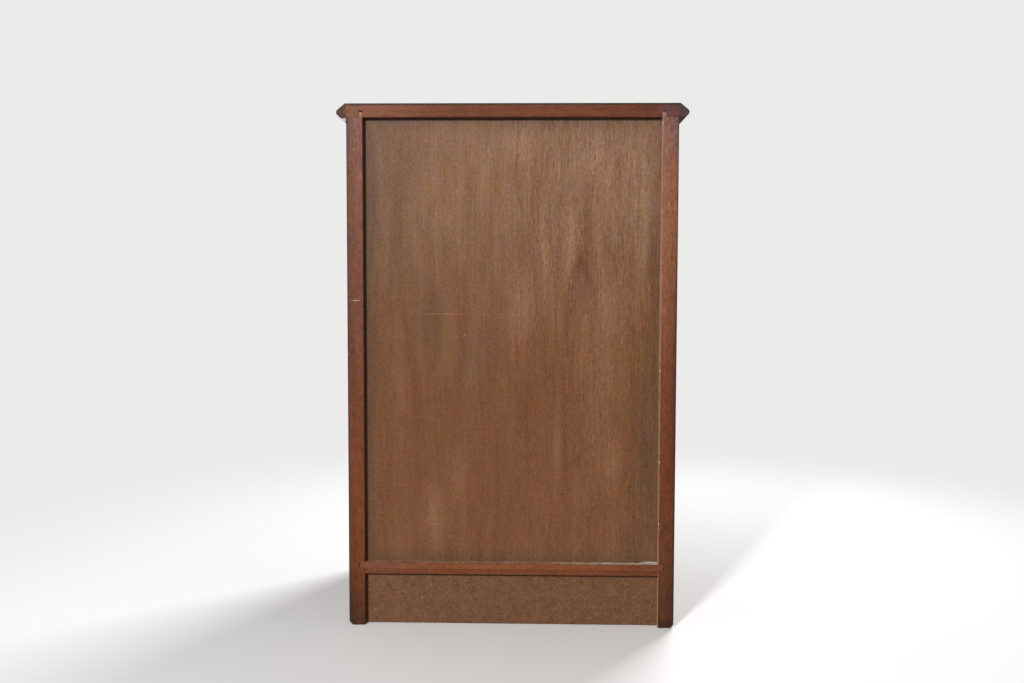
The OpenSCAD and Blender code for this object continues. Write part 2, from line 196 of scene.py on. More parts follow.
def stained_hardwood(name, along, pith, lean=0.02, tone="#703b22", marks=(), rear=None):
    """Stained Philippine mahogany (lauan), planed, wiped with red-brown stain and thinly lacquered.

    To the eye it is a close red-brown with a dull sheen, mottled where the stain took unevenly, with growth
    bands, a fine speckled grain and short dark pores. Its end grain drinks more stain and is darker. Faces
    at the rear have less lacquer, so their sheen is weaker.
    """
    made, put = new_material(name)
    place = log_space(put, along, pith, lean)
    normal = put("TexCoord").outputs["Normal"]

    # Growth bands: irregular rings about the pith, bent by slow noise
    bend = streaks(put, place, 55, 520, shift=pith[0] * 40)
    bend = put("VectorMath", bend.outputs["Color"], (0.5, 0.5, 0.5), operation="SUBTRACT")
    bend = put("VectorMath", bend, (26, 26, 0), operation="MULTIPLY")
    across = put("VectorMath", place, (1, 1, 0), operation="MULTIPLY")
    across = put("VectorMath", across, bend, operation="ADD")
    radius = put("VectorMath", across, operation="LENGTH").outputs["Value"]
    ring_mm = 5.0
    turns = put("Math", radius, 1 / ring_mm, operation="MULTIPLY")
    rings = put("TexNoise", noise_dimensions="1D", W=turns, Scale=1.0, Detail=3.0, Roughness=0.65)

    # Fibres under 1 mm wide are drawn 1.4 mm wide and pores of 0.3 mm 0.9 mm wide, so that they show
    fibres = streaks(put, place, 1.4, 45, 3.0)
    grain = streaks(put, place, 1.9, 5.5, 1.0, shift=4.0)
    pores = put("MapRange", streaks(put, place, 0.9, 9, 1.0, shift=5.0), 0.58, 0.70, 0.0, 0.45)
    slow = streaks(put, place, 30, 200, 2.0, shift=9.0)
    blotch = streaks(put, place, 6, 17, 2.0, shift=12.0)
    value = weighed(put, 0.0, ((rings, 0.5), (fibres, 0.6), (grain, 1.1), (slow, 0.4), (blotch, 0.7)))

    # End grain faces along the log
    toward = put("VectorMath", normal, AXES[along], operation="DOT_PRODUCT").outputs["Value"]
    end = put("MapRange", put("Math", toward, operation="ABSOLUTE"), 0.75, 0.95, 0.0, 1.0)
    dots = streaks(put, place, 1.3, 30, 2.0)
    value = put("Mix", end, value, weighed(put, 0.0, ((dots, 1.5), (rings, 1.2), (blotch, 0.4))))
    colour = put("Mix", end, tone, "#4a2d20", data_type="RGBA")

    back = put("MapRange", put("SeparateXYZ", normal).outputs["Y"], 0.5, 0.9, 0.0, 1.0)
    if rear:
        colour = rear(put, colour, back)
    colour = marks_on(put, colour, marks)
    colour = hued(put, colour, streaks(put, place, 9, 26, 2.0, shift=15.0), (0.40, -0.15, 0.70))
    colour = tinted(put, colour, value)
    long_face = put("Math", 1.0, end, operation="SUBTRACT")
    share = put("Math", pores, long_face, operation="MULTIPLY")
    colour = put("Mix", share, colour, "#2c140c", data_type="RGBA")

    # Eased edges: darkened, by grime in the rubbed stain and by a painted shade of the rounding
    arris = put("Attribute", attribute_name="arris").outputs["Fac"]
    rubbed = put("MapRange", streaks(put, place, 4, 30, 3.0, shift=2.0), 0.35, 0.65, 0.45, 0.95)
    share = put("Math", arris, rubbed, operation="MULTIPLY")
    colour = put("Mix", share, colour, "#3a2e2e", data_type="RGBA")

    rough = put("MapRange", back, 0.0, 1.0, 0.62, 0.55)
    rough = put("Math", pores, 0.25, rough, operation="MULTIPLY_ADD")
    sheen = put("MapRange", back, 0.0, 1.0, 0.18, 0.12)
    height = put("Math", pores, -1.3, fibres, operation="MULTIPLY_ADD")
    coat(put, height, 0.4, 0.15, Base_Color=colour, Roughness=rough, Specular_IOR_Level=sheen)
    return made


def stained_plywood(name, marks):
    """Rotary-cut lauan plywood, wiped with thin brown stain and left matt, hazy at the top with dust and
    painted sheen.

    To the eye it is a dusty, slightly cloudy brown, darker along the frame with grime and painted shade of
    the recess. Towards -X it has short fine streaks along the grain, which thin out towards +X and the
    floor.
    One small flame shows where the knife ran out of a ring of the log.
    """
    made, put = new_material(name)
    here = put("TexCoord").outputs["Object"]
    straight = put("Mapping", here, vector_type="TEXTURE", Scale=(MM,) * 3)
    across, up = [put("SeparateXYZ", straight).outputs[axis] for axis in "XZ"]

    # The grain wanders sideways by some millimetres along its length
    drift = put("VectorMath", streaks(put, straight, 130, 330, 1.0).outputs["Color"], (0.5, 0.5, 0.5),
                operation="SUBTRACT")
    drift = put("VectorMath", drift, (34, 0, 0), operation="MULTIPLY")
    place = put("VectorMath", straight, drift, operation="ADD")
    parts = put("SeparateXYZ", place)

    # Rings of the log, whose pith leaves the sheet as it rises, so that their cuts are nested flames. One
    # is drawn as a dark line round darker wood, with its tip at flame_x_mm and flame_z_mm, and fades below
    flame_x_mm, flame_z_mm, lean, below_mm, ring_mm = -119.0, 639.0, 0.10, 500.0, 8.0
    side = put("Math", parts.outputs["X"], flame_x_mm, operation="SUBTRACT")
    above = put("Math", parts.outputs["Z"], flame_z_mm, operation="SUBTRACT")
    depth = put("Math", above, lean, lean * below_mm, operation="MULTIPLY_ADD")
    radius = put("VectorMath", put("CombineXYZ", side, depth, 0.0), operation="LENGTH").outputs["Value"]
    turns = put("Math", radius, 1 / ring_mm, operation="MULTIPLY")
    rings = put("TexNoise", noise_dimensions="1D", W=turns, Scale=1.0, Detail=2.0, Roughness=0.6)
    off = put("Math", radius, lean * below_mm, operation="SUBTRACT")
    near = put("MapRange", above, -110.0, -25.0, 0.0, 1.0)
    line = put("MapRange", put("Math", off, operation="ABSOLUTE"), 3.0, 0.0, 0.0, -0.20)
    line = put("Math", line, near, operation="MULTIPLY")
    inside = put("Math", put("MapRange", off, 2.0, -6.0, 0.0, 0.36), near, operation="MULTIPLY")

    # Pores of 0.3 mm are drawn 1.3 mm wide, so that they show
    flecks = streaks(put, place, 1.3, 14, 2.0, shift=3.0)
    threads = streaks(put, place, 2.3, 110, 2.0, shift=5.0)
    cluster = put("MapRange", streaks(put, place, 16, 70, 1.0, shift=8.0), 0.35, 0.65, 0.6, 1.3)
    lively = put("MapRange", across, 120.0, -80.0, 0.2, 1.0, interpolation_type="SMOOTHSTEP")
    for share in (put("MapRange", up, 300.0, 820.0, 0.56, 0.84), cluster):
        lively = put("Math", lively, share, operation="MULTIPLY")
    value = weighed(put, 0.0, ((flecks, 1.75), (threads, 0.8), (rings, 0.25)))
    value = put("Math", value, lively, line, operation="MULTIPLY_ADD")
    fine = streaks(put, straight, 3.6, 5.0, 1.0, shift=6.0)
    mottle = streaks(put, place, 8, 20, 2.0, shift=7.0)
    bands = streaks(put, place, 24, 170, 2.0, shift=1.0)
    lines = streaks(put, place, 3, 140)
    value = weighed(put, value, ((fine, 0.85), (mottle, 0.32), (bands, 0.66), (lines, 0.38)))

    # Haze of dust and painted sheen climbs unevenly, and grime and painted shade of the recess lie along
    # the frame
    uneven_mm = 260.0
    climb = put("Math", bands, 0.5, operation="SUBTRACT")
    climb = put("Math", climb, uneven_mm, up, operation="MULTIPLY_ADD")
    # The ramp turns paler and greyer towards the top: dust, and a painted sheen
    tone = put("ValToRGB", put("MapRange", climb, 150.0, 870.0, 0.0, 1.0),
               stops=((0.0, "#744c32"), (0.35, "#70492e"), (0.54, "#764f34"), (0.72, "#79563e"),
                      (0.92, "#835f47"), (1.0, "#7f5d48")))
    tone = put("Mix", inside, tone, "#5c4540", data_type="RGBA")
    tone = marks_on(put, tone, marks)
    from_middle = put("Math", across, operation="ABSOLUTE")
    from_frame = put("Math", inner_x / MM, from_middle, operation="SUBTRACT")
    for gap in (put("Math", up, ledge_z / MM, operation="SUBTRACT"),
                put("Math", top_z / MM, up, operation="SUBTRACT")):
        from_frame = put("Math", from_frame, gap, operation="MINIMUM")
    # Darker along the frame: grime, and painted shade of the recess
    dirt_and_recess_shade = put("MapRange", from_frame, 27.0, 0.0, 0.0, 0.42)
    tone = put("Mix", dirt_and_recess_shade, tone, "#4c4036", data_type="RGBA")
    tone = hued(put, tone, streaks(put, place, 13, 27, 1.0, shift=11.0), (0.24, 0.0, 0.62))
    colour = tinted(put, tone, value)

    height = put("Math", fine, 0.5, flecks, operation="MULTIPLY_ADD")
    coat(put, height, 0.35, 0.15, Base_Color=colour, Roughness=0.6, Specular_IOR_Level=0.12)
    return made


def stained_fibreboard(name):
    """Fibreboard pressed from coarse wood fibre and wiped with brown stain.

    To the eye it is an even brown that has no grain, with pale and dark chips 2 to 4 mm long in all
    directions.
    """
    cloud_mm, fibre_mm, chip_mm = 11.0, 2.4, 3.0
    made, put = new_material(name)
    here = put("TexCoord").outputs["Object"]
    place = put("Mapping", here, vector_type="TEXTURE", Scale=(MM,) * 3)
    cloud = put("TexNoise", place, Scale=1 / cloud_mm, Detail=3.0)
    fibre = put("TexNoise", place, Scale=1 / fibre_mm, Detail=3.0, Roughness=0.6)
    warp = put("VectorMath", fibre.outputs["Color"], (10, 10, 10), operation="MULTIPLY")
    warped = put("Mix", 0.25, place, warp, data_type="VECTOR")
    chips = put("TexVoronoi", warped, Scale=1 / chip_mm, Randomness=1.0)
    chip = put("MapRange", chips.outputs["Distance"], 0.45, 0.15, 0.0, 1.0)
    tint = put("SeparateColor", chips.outputs["Color"])
    pale = put("MapRange", tint.outputs["Red"], 0.62, 0.98, 0.0, 0.5)
    dark = put("MapRange", tint.outputs["Green"], 0.6, 0.95, 0.0, 0.6)
    value = weighed(put, 0.0, ((fibre, 1.5), (cloud, 0.7)))
    colour = hued(put, tinted(put, "#704d37", value), cloud, (0.3, 0.0, 0.5))
    for some, shade in ((pale, "#ab876b"), (dark, "#3f281c")):
        share = put("Math", chip, some, operation="MULTIPLY")
        colour = put("Mix", share, colour, shade, data_type="RGBA")
    coat(put, fibre, 0.5, 0.25, Base_Color=colour, Roughness=0.6, Specular_IOR_Level=0.12)
    return made


def planed_whitewood(name, along):
    """Spruce, planed and left bare inside the chest.

    To the eye it is pale yellow-brown, with thin darker latewood lines along the grain and brown end grain.
    """
    ring_mm = 3.2
    made, put = new_material(name)
    place = log_space(put, along, (0.03, -0.31, -0.2), 0.015)
    bend = streaks(put, place, 60, 500)
    bend = put("VectorMath", bend.outputs["Color"], (14, 14, 0), operation="MULTIPLY")
    across = put("VectorMath", place, (1, 1, 0), operation="MULTIPLY")
    across = put("VectorMath", across, bend, operation="ADD")
    radius = put("VectorMath", across, operation="LENGTH").outputs["Value"]
    phase = put("Math", put("Math", radius, 1 / ring_mm, operation="MULTIPLY"), operation="FRACT")
    late = put("MapRange", phase, 0.45, 0.95, 0.0, 0.5)

    # Fibres under 1 mm wide are drawn 1.2 mm wide, so that they show
    fibres = streaks(put, place, 1.2, 50, 3.0)
    colour = put("Mix", late, "#c9a97d", "#a57a4c", data_type="RGBA")
    shade = put("MapRange", fibres, 0.3, 0.7, 0.88, 1.1)
    grey = put("CombineColor", shade, shade, shade)
    colour = put("Mix", 1.0, colour, grey, data_type="RGBA", blend_type="MULTIPLY")
    toward = put("VectorMath", put("TexCoord").outputs["Normal"], AXES[along], operation="DOT_PRODUCT")
    end = put("Math", toward.outputs["Value"], operation="ABSOLUTE")
    end = put("MapRange", end, 0.75, 0.95, 0.0, 0.45)
    colour = put("Mix", end, colour, "#8a6238", data_type="RGBA")
    coat(put, fibres, 0.3, 0.1, Base_Color=colour, Roughness=0.6, Specular_IOR_Level=0.35)
    return made


def sanded_plywood(name):
    """Birch plywood, sanded and left bare, with its face grain along the width.

    To the eye it is pale and nearly plain, and its edges show darker and paler plies a little over 1 mm
    thick.
    """
    made, put = new_material(name)
    here = put("TexCoord")
    place = log_space(put, "X", (0, 0, 0))

    # Fibres under 1 mm wide are drawn 1.3 mm wide, so that they show
    figure = streaks(put, place, 26, 240, 3.0)
    fibres = streaks(put, place, 1.3, 30, 3.0)
    value = put("Math", fibres, 0.4, figure, operation="MULTIPLY_ADD")
    colour = put("Mix", put("MapRange", value, 0.4, 1.0, 0.0, 1.0), "#c39f70", "#b08a5a", data_type="RGBA")

    ply_mm = 1.25
    height = put("SeparateXYZ", here.outputs["Object"]).outputs["Z"]
    turns = put("Math", height, TURN / (2 * ply_mm * MM), operation="MULTIPLY")
    plies = put("Math", turns, operation="SINE")
    flat = put("Math", put("SeparateXYZ", here.outputs["Normal"]).outputs["Z"], operation="ABSOLUTE")
    edge = put("MapRange", flat, 0.7, 0.3, 0.0, 0.5)
    share = put("Math", edge, put("MapRange", plies, -0.2, 0.2, 0.0, 1.0), operation="MULTIPLY")
    colour = put("Mix", share, colour, "#7a5630", data_type="RGBA")
    put("OutputMaterial", put("BsdfPrincipled", Base_Color=colour, Roughness=0.6, Specular_IOR_Level=0.35))
    return made


def antique_brass(name):
    """Cast and turned brass, darkened with a brown patina and rubbed back.

    To the eye it is brown-gold with a soft sheen: bright on beads and knuckles, and dull and brown in the
    hollows.
    """
    cloud_mm, pit_mm = 5.0, 0.8
    made, put = new_material(name)
    here = put("TexCoord").outputs["Object"]
    cloud = put("TexNoise", here, Scale=1 / (cloud_mm * MM), Detail=3.0)
    pits = put("TexNoise", here, Scale=1 / (pit_mm * MM), Detail=3.0)
    rub = put("Attribute", attribute_name="rub").outputs["Fac"]
    worn = put("Math", rub, 0.75, put("Math", cloud, 0.5, operation="MULTIPLY"), operation="MULTIPLY_ADD")
    worn = put("MapRange", worn, 0.25, 0.85, 0.0, 1.0)
    colour = put("Mix", worn, "#43341f", "#94793f", data_type="RGBA")
    rough = put("Math", worn, -0.25, pits, operation="MULTIPLY_ADD")
    rough = put("MapRange", rough, 0.2, 0.7, 0.26, 0.52)
    coat(put, pits, 0.15, 0.05, Base_Color=colour, Metallic=1.0, Roughness=rough)
    return made


# Shapes

def patch(points, closed=False, capped=False):
    """Vertices and faces of a grid of points, each of whose rows is joined to the next.

    A row is a line or, if closed, a ring. capped closes the first and last ring with a face.
    """
    rows, columns = points.shape[:2]
    index = np.arange(rows * columns).reshape(rows, columns)
    after = np.roll(index, -1, 1)
    here, there = (index, after) if closed else (index[:, :-1], after[:, :-1])
    faces = np.stack([here[:-1], there[:-1], there[1:], here[1:]], -1).reshape(-1, 4).tolist()
    if capped:
        faces += [index[0, ::-1].tolist(), index[-1].tolist()]
    return points.reshape(-1, 3), faces


def place_piece(name, mesh, node, stuff):
    """Puts a mesh into the scene in place of a CAD node, on that node's body."""
    piece = bpy.data.objects.new(name, mesh)
    bpy.context.scene.collection.objects.link(piece)
    mesh.materials.append(stuff)
    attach(piece, frame["nodes"][node]["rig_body"])
    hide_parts(node)
    return piece


def surface(name, patches, node, stuff, smooth_deg=35, rub=None):
    """A piece from patches, merged by distance, with its faces outwards and smooth up to an angle.

    rub holds one number per vertex, in one array per patch: how much the high spots are rubbed bright.
    """
    starts = np.cumsum([0] + [len(points) for points, _ in patches])
    faces = [[i + start for i in face] for start, (_, part) in zip(starts, patches) for face in part]
    mesh = bpy.data.meshes.new(name)
    mesh.from_pydata(np.concatenate([points for points, _ in patches]), [], faces)
    if rub is not None:
        rubbed = mesh.attributes.new("rub", "FLOAT", "POINT")
        rubbed.data.foreach_set("value", np.concatenate(rub).astype(np.float32))
    shape = bmesh.new()
    shape.from_mesh(mesh)
    bmesh.ops.remove_doubles(shape, verts=shape.verts, dist=0.001 * MM)
    bmesh.ops.recalc_face_normals(shape, faces=shape.faces)
    shape.to_mesh(mesh)
    shape.free()
    mesh.polygons.foreach_set("use_smooth", np.ones(len(mesh.polygons), bool))
    mesh.set_sharp_from_angle(angle=math.radians(smooth_deg))
    return place_piece(name, mesh, node, stuff)


def board(node, stuff, ease_mm=0.4, soft_mm=1.4, soft=None):
    """A board as the CAD node has it, with its arrises rounded.

    Those that soft picks are rounded by soft_mm and all others by ease_mm. The faces of a rounded arris
    are smooth and have the attribute arris at 1.
    """
    shape = bmesh.new()
    shape.from_mesh(frame["nodes"][node].data)
    bmesh.ops.remove_doubles(shape, verts=shape.verts, dist=0.005 * MM)
    bmesh.ops.dissolve_limit(shape, angle_limit=math.radians(1), verts=shape.verts, edges=shape.edges)
    arris = shape.faces.layers.float.new("arris")
    for width_mm, picked in ((soft_mm, True), (ease_mm, False)):
        edges = [e for e in shape.edges if e.is_manifold and e.is_convex
                 and e.calc_face_angle() > math.radians(30)
                 and bool(soft and soft((e.verts[0].co + e.verts[1].co) / 2)) == picked]
        if edges:
            made = bmesh.ops.bevel(shape, geom=edges, offset=width_mm * MM, offset_type="OFFSET",
                                   segments=3, profile=0.5, affect="EDGES", clamp_overlap=True)
            for face in made["faces"]:
                face.smooth = True
                face[arris] = 1.0
    mesh = bpy.data.meshes.new(f"finished_{node}")
    shape.to_mesh(mesh)
    shape.free()
    place_piece(mesh.name, mesh, node, stuff)


def arc(u, v, radius, start_deg, end_deg, steps):
    """Points of an arc about (u, v), as rows of (u, v)."""
    angle = np.radians(np.linspace(start_deg, end_deg, steps))
    return np.stack([u + radius * np.cos(angle), v + radius * np.sin(angle)], 1)


def moulded_edge_mm():
    """Outline of the top's edge, u outwards and v up from its surface: a flat, a bevel, a nose and a slope.

    The bevel meets the nose's circle at its tangent, and the slope leaves it at 45 degrees. The nose's
    centre is nose_lift above the underside.
    """
    overhang = (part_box("top_right_lipping")[1].x - half_w) / MM
    thickness = (body_h - top_z) / MM
    flat, nose_r, nose_lift = 1.8, 6.3, 8.5
    nose_u, nose_v = overhang - nose_r, nose_lift - thickness
    reach = math.hypot(nose_u - flat, nose_v)
    start = 90 + math.degrees(math.atan2(nose_v, nose_u - flat) + math.asin(nose_r / reach))
    under = nose_u + nose_r * math.sqrt(2) - nose_lift
    nose = arc(nose_u, nose_v, nose_r, start, -45, 24)
    return np.concatenate([[(0, 0), (flat, 0)], nose, [(under, -thickness), (0, -thickness)]])


def moulding(node, outline_mm, height, stations, stuff, ease_mm=0.35):
    """A moulding: an outline carried along stations, each a place in plan and where u points there."""
    u, v = outline_mm.T * MM
    rows = [np.stack([x + u * ux, y + u * uy, height + v], 1) for (x, y), (ux, uy) in stations]
    piece = surface(f"finished_{node}", [patch(np.array(rows), closed=True, capped=True)], node,
                    stuff, smooth_deg=28)
    bevel = piece.modifiers.new("arris", "BEVEL")
    bevel.width, bevel.segments = ease_mm * MM, 2
    bevel.limit_method, bevel.angle_limit = "ANGLE", math.radians(32)
    bevel.harden_normals = True


def bowed_panel(node, stuff, bow_mm):
    """A thin panel that bows to the rear: bow_mm times one half sine wave across and one up the panel."""
    low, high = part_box(node)
    columns, rows = 49, 73
    share_x, share_z = np.meshgrid(np.linspace(0, 1, columns), np.linspace(0, 1, rows))
    grid_x = low.x + (high.x - low.x) * share_x
    grid_z = low.z + (high.z - low.z) * share_z
    wave = np.sin(np.pi * share_x) * np.sin(np.pi * share_z)
    faces = [np.stack([grid_x, y + bow_mm * MM * wave, grid_z], -1) for y in (low.y, high.y)]
    sides = [np.stack([face[line] for face in faces]) for line in
             (np.s_[0, :], np.s_[-1, :], np.s_[:, 0], np.s_[:, -1])]
    surface(f"finished_{node}", [patch(p) for p in faces + sides], node, stuff)


def turned(profile_mm, centre, axis, columns):
    """A turned shape: a profile of (radius, height) rows spun about an axis, "Y" (to the front) or "X"."""
    radius, height = np.asarray(profile_mm, float).T * MM
    angle = np.linspace(0, TURN, columns, endpoint=False)
    across, up = np.outer(radius, np.cos(angle)), np.outer(radius, np.sin(angle))
    along = np.repeat(height[:, None], columns, 1)
    local = np.stack([across, -along, up] if axis == "Y" else [along, across, up], -1)
    return patch(local + np.array(centre), closed=True)


# Sizes of the pulls, as the pull posts and bails of the frame have them
post_spacing_mm, standoff_mm, head_r_mm, rosette_r_mm = 76.0, 15.0, 4.6, 14.0
pin_r_mm, bore_r_mm, pin_tip_mm, pin_taper_mm, pin_tip_cut_mm = 2.0, 2.08, 1.0, 0.5, 0.6
bail_half_mm, bail_drop_mm, bail_r_mm, knuckle_r_mm = 47.0, 30.0, 2.5, 3.0
washer_t_mm, washer_r_mm = 1.0, 6.0
nut_t_mm, nut_r_mm, stud_r_mm, stud_tail_mm, stud_chamfer_mm = 3.5, 4.6, 2.5, 1.0, 0.5
pull_x = sum(corner.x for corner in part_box("drawer_1_right_bail")) / 2

# How brightly a rosette is rubbed: a radius in mm and the rub there
ROSETTE_RUB = ((0, 0.6), (3, 0.6), (3.6, 0.2), (5, 0.8), (6, 0.7), (7.5, 0.9), (8.6, 0.3), (10, 0.1),
               (12, 0.1), (13.6, 1.0))


def rosette_profile_mm():
    """Radius and height of a rosette and its neck.

    From the rim these are a bead, an ogee (half a cosine wave), a bead, a collar and a waisted neck, whose
    radius grows from its middle to both ends by the square and the fourth power of the way there.
    """
    rise = np.linspace(0, 1, 12)
    ogee = np.stack([12.6 - 3.8 * rise, 1.1 + 1.2 * (0.5 - 0.5 * np.cos(np.pi * rise))], 1)
    up = np.linspace(0, 1, 14)
    from_waist = 2 * up - 1
    neck = np.stack([3.3 + 0.9 * from_waist ** 4 - 0.2 * (1 - from_waist ** 2), 4.6 + 7.7 * up], 1)
    return np.concatenate([
        [(0, 0)], arc(13.4, 0.6, 0.6, -90, 90, 9), ogee, arc(8.1, 2.3, 0.6, 0, 180, 9),
        [(6.9, 2.2)], arc(5.5, 3.1, 0.75, -70, 90, 9), [(4.4, 4.1)], neck, [(0, 12.3)]])


def bead_profile_mm():
    """Radius and height of a ball head along its pin: an arc of the ball and the bore through it."""
    half = math.degrees(math.acos(bore_r_mm / head_r_mm))
    ball = arc(0, 0, head_r_mm, -half, half, 25)
    return np.concatenate([ball, ball[:1]])


def nut(centre, columns=48):
    """A hexagonal nut and the stud's end. Both have a chamfer, which on the nut cuts mostly the corners."""
    angle = np.linspace(0, TURN, columns, endpoint=False)
    sixth = math.pi / 3
    flat_r = nut_r_mm * math.cos(sixth / 2)
    face_r, least_chamfer = 0.96 * flat_r, 0.1
    hexagon = flat_r / np.cos((angle + sixth / 2) % sixth - sixth / 2)
    chamfer = (hexagon - flat_r) * math.tan(math.radians(30)) + least_chamfer
    tail = nut_t_mm + stud_tail_mm
    rows = [(hexagon, 0), (hexagon, nut_t_mm - chamfer), (face_r, nut_t_mm), (stud_r_mm, nut_t_mm),
            (stud_r_mm, tail - stud_chamfer_mm), (stud_r_mm - stud_chamfer_mm, tail), (0, tail)]
    rings = [np.stack([r * np.cos(angle), 0 * angle + h, r * np.sin(angle)], 1) * MM for r, h in rows]
    return patch(np.array(rings) + np.array(centre), closed=True)


def pull_posts(n, stuff):
    """The four posts of a drawer: rosette, neck and bored ball head, and a washer and nut inside."""
    node = f"drawer_{n}_pull_posts"
    pin_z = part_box(node)[1].z - rosette_r_mm * MM
    rosette, bead = rosette_profile_mm(), bead_profile_mm()
    washer = [(0, 0), (washer_r_mm, 0), (washer_r_mm, -washer_t_mm), (0, -washer_t_mm)]
    columns = 40
    high_spots = np.repeat(np.interp(rosette[:, 0], *zip(*ROSETTE_RUB)), columns)
    patches, rub = [], []
    for x in [h * pull_x + p * post_spacing_mm / 2 * MM for h in (-1, 1) for p in (-1, 1)]:
        patches.append(turned(rosette, (x, face_y, pin_z), "Y", columns))
        rub.append(high_spots)
        for made, bright in ((turned(bead, (x, face_y - standoff_mm * MM, pin_z), "X", 32), 0.9),
                             (turned(washer, (x, front_back_y, pin_z), "Y", 32), 0.4),
                             (nut((x, front_back_y + washer_t_mm * MM, pin_z)), 0.4)):
            patches.append(made)
            rub.append(np.full(len(made[0]), bright))
    surface(f"finished_{node}", patches, node, stuff, smooth_deg=40, rub=rub)


def bail(n, hand, stuff):
    """A bail: a rod along an arc, with a knuckle at each end and a pin inwards from it.

    The rod swells towards its middle by the squared cosine of its place, and has a collar near each end.
    """
    node = f"drawer_{n}_{hand}_bail"
    low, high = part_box(node)
    centre = np.array([(low.x + high.x) / 2, (low.y + high.y) / 2, high.z - knuckle_r_mm * MM])
    arc_r = (bail_half_mm ** 2 + bail_drop_mm ** 2) / (2 * bail_drop_mm)
    half = math.asin(bail_half_mm / arc_r)
    swing = np.linspace(-half, half, 61)[:, None]
    columns = 20
    around = np.linspace(0, TURN, columns, endpoint=False)[None, :]
    share = np.abs(swing) / half
    swell = np.cos(share * math.pi / 2) ** 2
    slim, swollen = 0.86, 0.24
    collar_mm, collar_at, collar_wide = 0.5, 0.86, 0.03
    collar = np.exp(-((share - collar_at) / collar_wide) ** 2)
    thick = bail_r_mm * (slim + swollen * swell) + collar_mm * collar
    out = arc_r + thick * np.cos(around)
    rod = np.stack([out * np.sin(swing), thick * np.sin(around) + 0 * swing,
                    arc_r - bail_drop_mm - out * np.cos(swing)], -1) * MM + centre
    patches = [patch(rod, closed=True, capped=True)]
    rub = [np.repeat(0.35 + 0.5 * swell[:, 0], columns)]
    ball = arc(0, 0, knuckle_r_mm, -90, 90, 13)
    pin_end = post_spacing_mm / 2 - head_r_mm - pin_tip_mm
    for sign in (-1, 1):
        pin = [(0, bail_half_mm), (pin_r_mm, bail_half_mm), (pin_r_mm, pin_end + pin_taper_mm),
               (pin_r_mm - pin_tip_cut_mm, pin_end), (0, pin_end)]
        for profile, along in ((ball, bail_half_mm), (np.array(pin), 0.0)):
            spun = profile + np.array([0, along])
            made = turned(spun * np.array([1, sign]), centre, "X", 28)
            patches.append(made)
            rub.append(np.full(len(made[0]), 0.8))
    surface(f"finished_{node}", patches, node, stuff, smooth_deg=40, rub=rub)


# Camera, at the place and angle of the photographed view, which looks at the back of the chest
camera = bpy.data.objects.new("camera", bpy.data.cameras.new("camera"))
bpy.context.scene.collection.objects.link(camera)
bpy.context.scene.camera = camera
camera.data.sensor_width = 36.0
camera.data.lens = 37.97
camera_place = Vector((-0.0517, 2.0822, 0.6165))
heading_deg, tilt_deg, roll_deg = -178.441, -3.515, 0.142
camera.matrix_world = (Matrix.Translation(camera_place)
                       @ Matrix.Rotation(math.radians(heading_deg), 4, "Z")
                       @ Matrix.Rotation(math.radians(90 + tilt_deg), 4, "X")
                       @ Matrix.Rotation(math.radians(roll_deg), 4, "Z"))
bpy.context.scene.view_settings.view_transform = "Standard"

# Floor, world and lamps
BACKDROP = "#ebebea"


def seen_directly(put):
    """1 for rays of the camera, reflections and glass, and 0 for those that gather light."""
    ray = put("LightPath")
    direct = put("Math", ray.outputs["Is Camera Ray"], ray.outputs["Is Glossy Ray"], operation="MAXIMUM")
    return put("Math", direct, ray.outputs["Is Transmission Ray"], operation="MAXIMUM")


def pale_floor():
    """A pale floor that keeps the chest's shadow and fades into the backdrop's colour away from it."""
    made, put = new_material("painted_floor")
    here = put("TexCoord").outputs["Object"]
    far = put("VectorMath", here, operation="LENGTH").outputs["Value"]
    fade = put("MapRange", far, 0.7, 1.9, 0.0, 1.0, interpolation_type="SMOOTHSTEP")
    direct = seen_directly(put)
    colour = put("Mix", direct, "#a5a5a3", "#fbfbfa", data_type="RGBA")
    lit = put("BsdfDiffuse", Color=colour)
    glow = put("Emission", Color=BACKDROP, Strength=1.0)
    share = put("Math", fade, direct, operation="MULTIPLY")
    put("OutputMaterial", put("MixShader", share, lit, glow))
    return made


floor_mesh = bpy.data.meshes.new("floor")
floor_r, floor_sides = 30.0, 120
rim = arc(0, 0, floor_r, 0, 360 - 360 / floor_sides, floor_sides)
floor_mesh.from_pydata(np.concatenate([rim, 0 * rim[:, :1]], 1), [], [list(range(len(rim)))])
floor = bpy.data.objects.new("floor", floor_mesh)
bpy.context.scene.collection.objects.link(floor)
floor_mesh.materials.append(pale_floor())

world = bpy.data.worlds.new("studio")
bpy.context.scene.world = world
world.use_nodes = True
world.node_tree.nodes.clear()
put = partial(add, world.node_tree)
room = put("Background", Color="#ffffff", Strength=0.25)
backdrop = put("Background", Color=BACKDROP, Strength=1.0)
put("OutputWorld", put("MixShader", seen_directly(put), room, backdrop))


def lamp(name, place, target, size, watts):
    """A soft square lamp that faces its target."""
    light = bpy.data.lights.new(name, "AREA")
    light.shape, light.size, light.energy = "SQUARE", size, watts
    made = bpy.data.objects.new(name, light)
    bpy.context.scene.collection.objects.link(made)
    made.location = place
    made.rotation_mode = "QUATERNION"
    made.rotation_quaternion = (Vector(target) - Vector(place)).to_track_quat("-Z", "Y")


middle = (0, 0, 0.5)
lamp("rear_lamp", (1.39, 3.80, 1.84), middle, 0.4, 150)
lamp("front_lamp", (-1.2, -2.2, 2.8), middle, 1.2, 100)

# How near to a plane of the case an edge counts as lying in it
TOUCH = 0.01 * MM


def at_outer_corner(middle_of_edge):
    """True on the long outer arrises of the sides, front and rear."""
    x, y, z = middle_of_edge
    at_end = min(abs(y - y_back), abs(y - y_front)) < TOUCH
    midway = abs(z - body_h / 2) < body_h / 4
    return abs(abs(x) - half_w) < TOUCH and midway and at_end


def at_top_of_back(middle_of_edge):
    """True on the rear arris of the top."""
    return middle_of_edge.z > body_h - TOUCH and middle_of_edge.y > y_back - TOUCH


